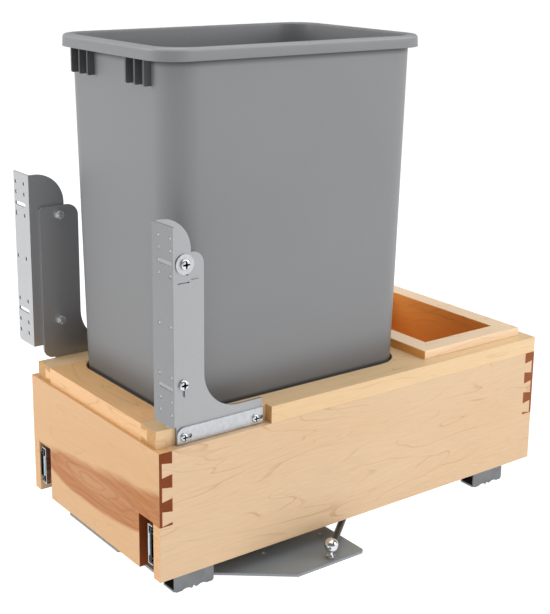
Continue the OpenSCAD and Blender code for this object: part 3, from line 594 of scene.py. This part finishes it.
class WasteBin(bpy.types.Operator):
    """Build the moulded bin: tapered walls, turned-down rolled rim, and the fins under its short sides"""
    bl_idname = "waste_unit.bin"
    bl_label = "Bin"

    def execute(self, context):
        bin_look = context.scene.waste_bin
        low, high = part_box("bin")
        rim_z = high.z - bin_look.rim_height
        plastic = moulded_polypropylene("grey polypropylene, moulded", bin_look.colour,
                                        rim_z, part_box("top_front_board")[1].z)
        centre_y = (low.y + high.y) / 2
        # half width, half depth and corner radius of the rim, and of the wall at its foot and top
        rim = np.array([high.x, (high.y - low.y) / 2, 35 * MM])
        base = np.array([103.6, 160.8, 34]) * MM
        top = np.array([114.7, 168.5, 36]) * MM
        wall, roll = bin_look.wall, bin_look.rim_round
        foot, skirt, lip, hem = 5 * MM, 0.9 * MM, 2.6 * MM, 0.3 * MM
        flat = np.array([1.0, 1.0, 0.0])
        rise = np.linspace(0, 1, 36)[:, None]
        bow = bin_look.bow * np.sin(math.pi * rise) * flat
        quarter = np.linspace(0, math.pi / 2, 7)[:, None]
        half = 2 * quarter[1:-1]
        inner_foot = 2 * foot
        inner_top = high.z - lip
        edge_gap = wall / 2 - 0.1 * MM

        def level(size, z):
            """Rows of half width, half depth, corner radius and height."""
            size, z = np.atleast_2d(size), np.atleast_2d(z)
            rows = max(len(size), len(z))
            return np.concatenate([np.broadcast_to(size, (rows, 3)), np.broadcast_to(z, (rows, 1))], 1)

        # from the outer foot up the wall, round the rim, and down the inside to the inner foot
        rows = np.concatenate([
            level(base - foot + foot * np.sin(quarter), low.z + foot - foot * np.cos(quarter)),
            level((base + (top - base) * rise + bow)[1:], (low.z + foot + (rim_z + 9 * MM - low.z - foot) * rise)[1:]),
            level(top + 0.6 * MM * flat, rim_z + 10.6 * MM),
            level(rim - wall - 0.6 * MM * flat, rim_z + 10.8 * MM),
            level(rim - wall, rim_z + 10 * MM),
            level(rim - wall, rim_z + skirt),
            level(rim - wall / 2 - edge_gap * np.cos(half) * flat, rim_z + skirt - skirt * np.sin(half)),
            level(rim, rim_z + skirt),
            level(rim - hem * flat, high.z - roll - 1 * MM),
            level(rim - hem * flat - roll + roll * np.cos(quarter), high.z - roll + roll * np.sin(quarter)),
            level(top - wall + lip - lip * np.sin(quarter), inner_top + lip * np.cos(quarter)),
            level((top - wall - (top - base) * rise + bow)[1:-1],
                  (inner_top - (inner_top - low.z - wall - inner_foot) * rise)[1:-1]),
            level(base - wall - inner_foot + inner_foot * np.cos(quarter),
                  low.z + wall + inner_foot - inner_foot * np.sin(quarter)),
        ])
        x, y = round_outline(rows[:, 0], rows[:, 1], rows[:, 2], 16, 8)
        z = np.broadcast_to(rows[:, 3, None], x.shape)
        moulding = solid("bin_moulding", [np.stack([x, y + centre_y, z], -1)], plastic, "bin")
        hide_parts("bin")
        fins = [fin(x, side, centre_y, top[1] - 1 * MM, rim[1] - wall, rim_z) for side in (-1, 1)
                for x in (-77 * MM, -59 * MM, -41 * MM, 41 * MM, 59 * MM, 77 * MM)]
        # painted shade: the fins get a darker grey than the moulding's, standing in for the shade under the rim
        shaded = moulded_polypropylene("grey polypropylene, painted shade under the rim", linear("#4A4B4D"))
        ribs = solid("bin_fins", fins, shaded, "bin", smooth=False)
        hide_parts("bin")
        return {"FINISHED"}


def fin(x, side, centre_y, y_in, y_out, rim_z):
    """A thin upright fin under the rim: its outline in depth and height, with a rounded lower corner, set at
    four places across its thickness, drawn in at both faces so that its edges are soft."""
    deep, tall, r = y_out - y_in, 27 * MM, 2 * MM
    into_wall, into_rim = 1.2 * MM, 11 * MM
    turn = np.linspace(0, math.pi / 2, 6)
    y = np.concatenate([[0, deep], deep - r + r * np.cos(turn), [-into_wall]])
    z = np.concatenate([[into_rim, into_rim], -tall + r - r * np.sin(turn), [-tall]])
    across = np.array([-1.2, -0.9, 0.9, 1.2])[:, None] * MM
    draw = np.array([0.3, 0.0, 0.0, 0.3])[:, None] * MM
    dy, dz = y - deep / 2, z + tall / 2
    size = np.hypot(dy, dz)
    yy, zz = y - dy / size * draw, z - dz / size * draw
    rings = np.stack([np.broadcast_to(x + across, yy.shape), centre_y + side * (y_in + yy), rim_z + zz], -1)
    return rings if side > 0 else rings[:, ::-1]


class WasteBrackets(bpy.types.Operator):
    """Finish the two door brackets and the zinc cleats that clamp them"""
    bl_idname = "waste_unit.brackets"
    bl_label = "Door brackets"

    def execute(self, context):
        steel = context.scene.waste_steel
        coat = powder_coat("powder-coated steel, silver grey", steel.coat)
        zinc = plated_steel("zinc-plated steel, bright", linear("#BDC0C4"), 0.34, 60, 0.16)
        # both angles have the same coat; the factors stand in for uneven light and aren't the steel's own
        right = powder_coat("powder-coated steel, silver grey, right angle", steel.coat, front=0.68)
        left = powder_coat("powder-coated steel, silver grey, left angle", steel.coat, front=1.28)
        dress(coat, "arm_right", "arm_left", "pin_plate")
        dress(right, "door_angle_right")
        dress(left, "door_angle_left")
        dress(zinc, "cleat_right", "cleat_left", "angle_washers")
        for name in ("arm_right", "arm_left", "door_angle_right", "door_angle_left"):
            ease(NODES[name], 0.6 * MM, segments=3)
        for name in ("cleat_right", "cleat_left"):
            ease(NODES[name], 0.4 * MM)
        return {"FINISHED"}


class WasteScrews(bpy.types.Operator):
    """Finish the screws, bolts, nuts and rivets, with cross-recessed pan heads on those that show"""
    bl_idname = "waste_unit.screws"
    bl_label = "Screws and bolts"

    def execute(self, context):
        steel = context.scene.waste_steel
        zinc = plated_steel("zinc-plated screw steel", steel.zinc, 0.22, 90, 0.1)
        # painted shade: the faces in each cross recess get a near-black zinc, standing in for the shade inside the
        # recess
        recess_shade = plated_steel("zinc-plated screw steel, painted shade in the recess", linear("#17181A"), 0.6, 90, 0.1)
        # painted highlight: the nuts get a near-white zinc, lighter than the screws', standing in for the highlights
        # on them
        bright = plated_steel("zinc-plated nut steel, painted highlight", linear("#F0F2F4"), 0.4, 60, 0.1)
        dress(zinc, "slide_screws", "slide_rivets", "plate_stud", "pin_plate_screws")
        dress(bright, "angle_nuts")
        ease(NODES["angle_nuts"], 0.6 * MM, segments=3)
        # node, and the head's radius and height and the shank's radius in millimetres
        for node, radius, tall, shank in (("cleat_screws", 4.6, 2.6, 2.0), ("angle_bolts", 6.0, 3.2, 3.0)):
            radius, tall, shank = radius * MM, tall * MM, shank * MM
            corners = np.array([v.co[:] for v in NODES[node].data.vertices])
            parts, places = [], []
            for side in (-1, 1):
                mine = corners[corners[:, 0] * side > 0]
                for y, z, x in head_places(mine, side, radius):
                    places.append((x, y, z, side))
                    reach = abs(x) - np.abs(mine[:, 0]).min()
                    parts += [cross_head(x, y, z, side, radius, tall),
                              lathe([(-0.01 * MM, shank), (reach, shank)], (x, y, z), (-side, 0, 0), 24)]
            piece = solid(node.replace("_", "-") + "-cross", parts, zinc, "frame")
            # the faces within each cross take the painted shade
            piece.data.materials.append(recess_shade)
            piece.data.polygons.foreach_set(
                "material_index", [int(in_recess(face.center, places, radius)) for face in piece.data.polygons])
            split = piece.modifiers.new("crisp edges", "EDGE_SPLIT")
            split.split_angle = math.radians(35)
            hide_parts(node)
        return {"FINISHED"}


def in_recess(point, places, radius):
    """True for a point on a head that lies within a cross of tapering arms about the head's middle."""
    for x, y, z, side in places:
        out, off_y, off_z = (point.x - x) * side, abs(point.y - y), abs(point.z - z)
        if out > 0.3 * MM and math.hypot(off_y, off_z) < radius:
            arm, long = min(off_y, off_z) / radius, max(off_y, off_z) / radius
            if arm * (1 + long) < 0.25 and long < 0.7:
                return True
    return False


def head_places(corners, side, radius):
    """Where the heads of one side's screws are: the middle of each cluster of corners in depth and height,
    and the plane that the heads sit on."""
    found = []
    left = corners
    while len(left):
        near = np.hypot(left[:, 1] - left[0, 1], left[:, 2] - left[0, 2]) < 2.2 * radius
        group = left[near]
        y, z = (group[:, 1].min() + group[:, 1].max()) / 2, (group[:, 2].min() + group[:, 2].max()) / 2
        wide = np.hypot(group[:, 1] - y, group[:, 2] - z) > 0.9 * (group[:, 1].max() - group[:, 1].min()) / 2
        found.append((y, z, side * np.abs(group[wide, 0]).min()))
        left = left[~near]
    return found


def cross_head(x, y, z, side, radius, tall):
    """A pan head with a cross recess, as a height over a polar grid: height = dome minus recess, where the
    dome is tall * (1 - (r / R) ** 4) ** 0.6 and the recess is deepest along two crossed slots that taper."""
    share = np.concatenate([np.linspace(0.02, 0.94, 26), [0.97, 0.99, 1.0]])[:, None]
    turn = np.linspace(0, 2 * math.pi, 72, endpoint=False)[None, :]
    u, v = share * np.cos(turn), share * np.sin(turn)
    dome = tall * (0.35 + 0.65 * np.clip(1 - share ** 4, 0, 1) ** 0.6)
    arm = np.minimum(np.abs(u), np.abs(v))
    long = np.maximum(np.abs(u), np.abs(v))
    slot = np.clip((0.2 - arm * (1 + long)) / 0.05, 0, 1) * np.clip((0.68 - long) / 0.08, 0, 1)
    height = dome - tall * 0.62 * slot * (1 - 0.45 * long)
    rings = np.stack([height + 0 * u, radius * u, radius * v], -1)
    rim = np.stack([np.zeros_like(u[-1]), radius * u[-1], radius * v[-1]], -1)[None]
    rings = np.concatenate([rings, rim])[::-1]
    placed = np.stack([x + side * rings[..., 0], y + rings[..., 1], z + rings[..., 2]], -1)
    return placed if side > 0 else placed[:, ::-1]


class WasteSlides(bpy.types.Operator):
    """Finish the three-part slides and their plastic end pieces"""
    bl_idname = "waste_unit.slides"
    bl_label = "Slides"

    def execute(self, context):
        rolled = plated_steel("zinc-plated steel, cold rolled", linear("#C4C6C8"), 0.28, 60, 0.12, True)
        blue = smooth_finish("acetal, pale blue, moulded", "#BFD6E2", 0.32)
        # painted much darker than zinc, to stand in for the shade inside the slide's channel
        channel_shade = plated_steel("zinc-plated steel, cold rolled, painted channel shade", linear("#3F4042"), 0.4, 60, 0.15, True)
        dress(rolled, "cabinet_slide_right", "cabinet_slide_left")
        dress(channel_shade, "frame_slide_right", "frame_slide_left", "middle_slide_right", "middle_slide_left")
        dress(blue, "slide_bumper_right", "slide_bumper_left")
        for side in ("right", "left"):
            for member in ("frame_slide_", "middle_slide_", "cabinet_slide_"):
                ease(NODES[member + side], 0.35 * MM)
            ease(NODES["slide_bumper_" + side], 1.0 * MM, segments=3)
        return {"FINISHED"}


class WasteFloorParts(bpy.types.Operator):
    """Finish the floor brackets and the floor plate"""
    bl_idname = "waste_unit.floor_parts"
    bl_label = "Floor brackets and plate"

    def execute(self, context):
        steel = context.scene.waste_steel
        dipped = plated_steel("galvanised steel, hot dipped", linear("#808285"), 0.46, 22, 0.22)
        coat = powder_coat("coated steel, dark grey", steel.plate, 0.25, 0.5)
        names = ["foot_front_right", "foot_front_left", "foot_rear_right", "foot_rear_left"]
        dress(dipped, *names)
        dress(coat, "base_plate")
        for name in names + ["base_plate"]:
            ease(NODES[name], 0.4 * MM)
        return {"FINISHED"}


class WasteSpring(bpy.types.Operator):
    """Finish the gas spring: black cylinder and rod, bright ball socket"""
    bl_idname = "waste_unit.spring"
    bl_label = "Gas spring"

    def execute(self, context):
        steel = context.scene.waste_steel
        dress(smooth_finish("nitrided steel, black", "#0C0C0E", 0.42), "spring_rod", "cylinder_gland")
        dress(smooth_finish("painted steel, black", "#202124", 0.35), "spring_cylinder")
        dress(smooth_finish("nickel-plated steel, polished", "#D2D5D8", 0.16, 1.0), "rod_end")
        dress(plated_steel("zinc-plated spring eye", steel.zinc, 0.3, 60, 0.12), "cylinder_eye")
        return {"FINISHED"}


class WasteStage(bpy.types.Operator):
    """Set the plain studio: pale floor, soft lights, and the camera to the right of the front"""
    bl_idname = "waste_unit.stage"
    bl_label = "Studio stage"

    def execute(self, context):
        look = context.scene.waste_stage
        scene = context.scene
        paint, tree, shader = new_material("studio floor, matt white paint")
        place = shade(tree, "TexCoord").outputs["Object"]
        cloud = shade(tree, "TexNoise", {"Vector": place, "Scale": 2.0, "Detail": 2.0})
        tone = shade(tree, "MapRange", {"Value": cloud.outputs["Fac"], "To Min": 0.99, "To Max": 1.0})
        base = shade(tree, "VectorMath", {0: tuple(look.floor)[:3], 1: tone.outputs[0]}, operation="MULTIPLY")
        tree.links.new(base.outputs[0], shader.inputs["Base Color"])
        shader.inputs["Roughness"].default_value = 0.9
        shader.inputs["Specular IOR Level"].default_value = 0.1
        # the floor is lit from all round like a light table, so that shadows stay pale
        shader.inputs["Emission Color"].default_value = (1, 1, 1, 1)
        shader.inputs["Emission Strength"].default_value = 0.96
        lay_floor(paint)
        light_studio(scene, look.key)

        camera = bpy.data.objects.new("camera", bpy.data.cameras.new("camera"))
        scene.collection.objects.link(camera)
        place, yaw, pitch, roll = (1.16853, -0.89282, 0.69273), 53.15, 14.24, 0.64
        yaw, pitch = math.radians(yaw), math.radians(pitch)
        ahead = (-math.sin(yaw) * math.cos(pitch), math.cos(yaw) * math.cos(pitch), -math.sin(pitch))
        aim(camera, place, ahead, math.radians(roll))
        camera.data.sensor_width = 36
        camera.data.lens = look.lens
        camera.data.shift_y = -0.1
        camera.data.clip_end = 100
        scene.camera = camera
        scene.view_settings.view_transform = "Standard"
        return {"FINISHED"}


def lay_floor(paint):
    """A square floor 32 m wide, half a millimetre under the object."""
    reach, count, drop = 16, 9, 0.5 * MM
    span = np.linspace(-reach, reach, count)
    x, y = np.meshgrid(span, span, indexing="ij")
    index = np.arange(count * count).reshape(count, count)
    faces = np.stack([index[:-1, :-1], index[1:, :-1], index[1:, 1:], index[:-1, 1:]], -1).reshape(-1, 4)
    mesh = bpy.data.meshes.new("floor")
    mesh.from_pydata(np.stack([x, y, np.full_like(x, -drop)], -1).reshape(-1, 3).tolist(), [], faces.tolist())
    mesh.materials.append(paint)
    floor = bpy.data.objects.new("floor", mesh)
    bpy.context.scene.collection.objects.link(floor)


def light_studio(scene, key):
    """A white horizon all round under a dim ceiling, and three soft boxes turned to the bin's middle."""
    world = bpy.data.worlds.new("studio")
    scene.world = world
    world.use_nodes = True
    sky = world.node_tree
    way = shade(sky, "TexCoord").outputs["Generated"]
    height = shade(sky, "SeparateXYZ", {0: way}).outputs["Z"]
    # the ceiling is dim above 12 degrees
    dim = shade(sky, "MapRange", {"Value": height, "From Min": 0.06, "From Max": 0.22,
                                  "To Min": 1.0, "To Max": 0.2}, interpolation_type="SMOOTHSTEP")
    sky.links.new(dim.outputs[0], sky.nodes["Background"].inputs["Strength"])
    sky.nodes["Background"].inputs["Color"].default_value = (1, 1, 1, 1)
    middle = np.array([0.0, 0.0, 0.25])
    # name, place, size in metres, share of the key light's power, and colour
    for name, spot, size, share, colour in (
            ("soft box right", (1.95, 1.75, 1.3), 1.4, 1.0, (1.0, 1.0, 1.0)),
            ("soft box left", (-1.35, -2.3, 1.35), 1.4, 0.95, (1.0, 0.99, 0.97)),
            ("soft box above", (0.15, -0.15, 2.5), 2.6, 1.5, (1.0, 1.0, 1.0))):
        lamp = bpy.data.lights.new(name, "AREA")
        lamp.size = size
        lamp.energy = key * share
        lamp.color = colour
        holder = bpy.data.objects.new(name, lamp)
        scene.collection.objects.link(holder)
        aim(holder, spot, middle - spot, 0.0)


def aim(holder, spot, ahead, roll):
    """Puts a lamp or camera at spot, looking ahead, with its right-hand side raised by roll."""
    ahead = ahead / np.linalg.norm(ahead)
    right = np.cross(ahead, [0, 0, 1.0])
    right /= np.linalg.norm(right)
    up = np.cross(right, ahead)
    right, up = right * math.cos(roll) + up * math.sin(roll), up * math.cos(roll) - right * math.sin(roll)
    matrix = np.eye(4)
    matrix[:3, 0], matrix[:3, 1], matrix[:3, 2], matrix[:3, 3] = right, up, -ahead, spot
    holder.matrix_world = Matrix(matrix.tolist())


class WastePanel(bpy.types.Panel):
    """Sizes, colours and steps of the waste bin unit"""
    bl_idname = "VIEW3D_PT_waste_unit"
    bl_label = "Waste bin unit"
    bl_space_type = "VIEW_3D"
    bl_region_type = "UI"
    bl_category = "Waste unit"

    def draw(self, context):
        scene = context.scene
        for group in (scene.waste_wood, scene.waste_bin, scene.waste_steel, scene.waste_stage):
            box = self.layout.box()
            for name in group.__annotations__:
                box.prop(group, name)
        for step in STEPS:
            self.layout.operator(step.bl_idname)


STEPS = (WasteStage, WasteBox, WasteTopFrame, WasteTray, WasteBin, WasteBrackets, WasteScrews, WasteSlides,
         WasteFloorParts, WasteSpring)
GROUPS = {"waste_wood": WasteWoodSettings, "waste_bin": WasteBinSettings, "waste_steel": WasteSteelSettings,
          "waste_stage": WasteStageSettings}


def register():
    for group in GROUPS.values():
        bpy.utils.register_class(group)
    for cls in STEPS + (WastePanel,):
        bpy.utils.register_class(cls)
    for name, group in GROUPS.items():
        setattr(bpy.types.Scene, name, bpy.props.PointerProperty(type=group))


def unregister():
    for name in GROUPS:
        delattr(bpy.types.Scene, name)
    for cls in (WastePanel,) + STEPS[::-1] + tuple(GROUPS.values()):
        bpy.utils.unregister_class(cls)


def main():
    register()
    for step in STEPS:
        getattr(bpy.ops.waste_unit, step.bl_idname.split(".")[1])()


if __name__ == "__main__":
    main()
